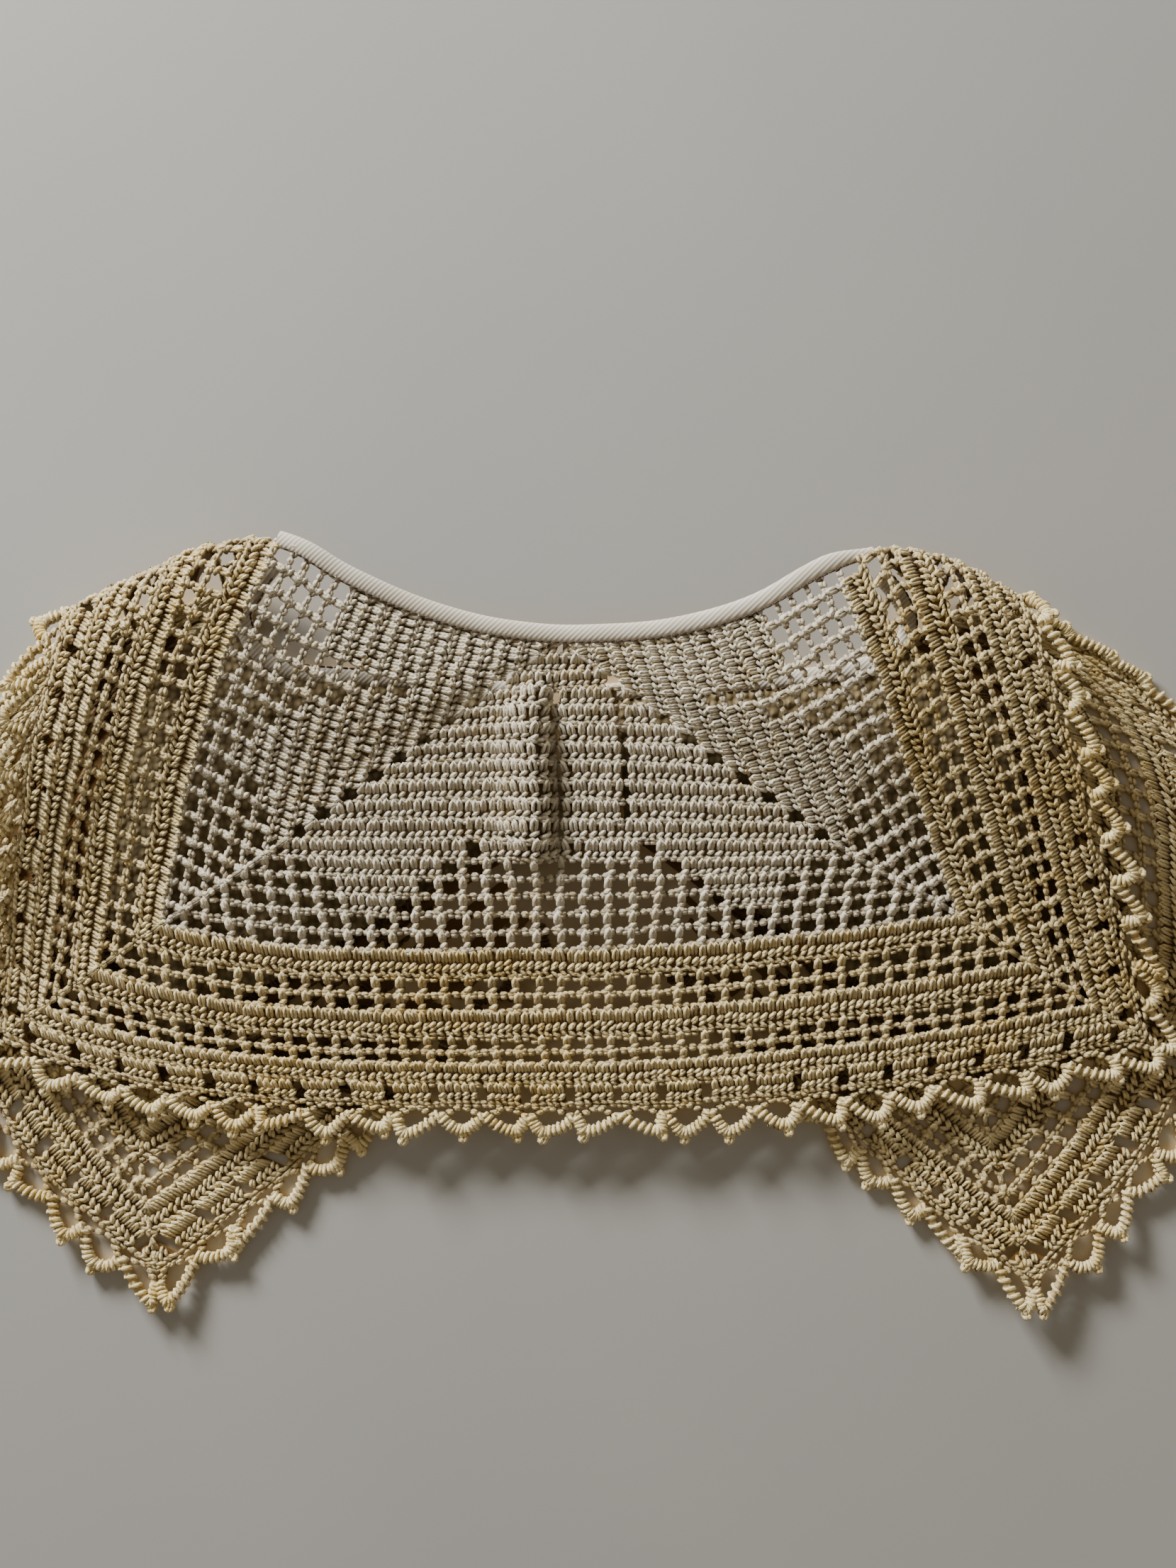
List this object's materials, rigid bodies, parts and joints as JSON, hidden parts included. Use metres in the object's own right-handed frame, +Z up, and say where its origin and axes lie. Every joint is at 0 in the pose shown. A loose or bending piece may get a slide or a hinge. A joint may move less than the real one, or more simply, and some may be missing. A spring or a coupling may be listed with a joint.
{
  "type": "lace collar",
  "caption": "Square filet crochet collar, white yoke and ecru border with looped edging and a bound neck, lying folded with its back on top.",
  "frame": {"origin": "middle of the folded collar's footprint, on the surface it lies on", "axes": "+X towards the right shoulder, +Y from the hem of the back towards the neck, +Z up from the surface"},
  "size_m": [0.4234, 0.2422, 0.0278],
  "materials": {
    "white_cotton": "matt white cotton crochet",
    "ecru_cotton": "matt ecru cotton crochet",
    "binding_cotton": "smooth cotton bias tape"
  },
  "bodies": {
    "root": {"back_yoke": "white_cotton", "left_shoulder_yoke": "white_cotton", "right_shoulder_yoke": "white_cotton", "back_border": "ecru_cotton", "left_shoulder_border": "ecru_cotton", "right_shoulder_border": "ecru_cotton", "left_front_yoke": "white_cotton", "right_front_yoke": "white_cotton", "left_front_border": "ecru_cotton", "right_front_border": "ecru_cotton", "back_edging": "ecru_cotton", "left_shoulder_edging": "ecru_cotton", "right_shoulder_edging": "ecru_cotton", "left_front_edging": "ecru_cotton", "right_front_edging": "ecru_cotton", "neck_binding_back": "binding_cotton", "neck_binding_left_front": "binding_cotton", "neck_binding_right_front": "binding_cotton"}
  },
  "joints": []
}
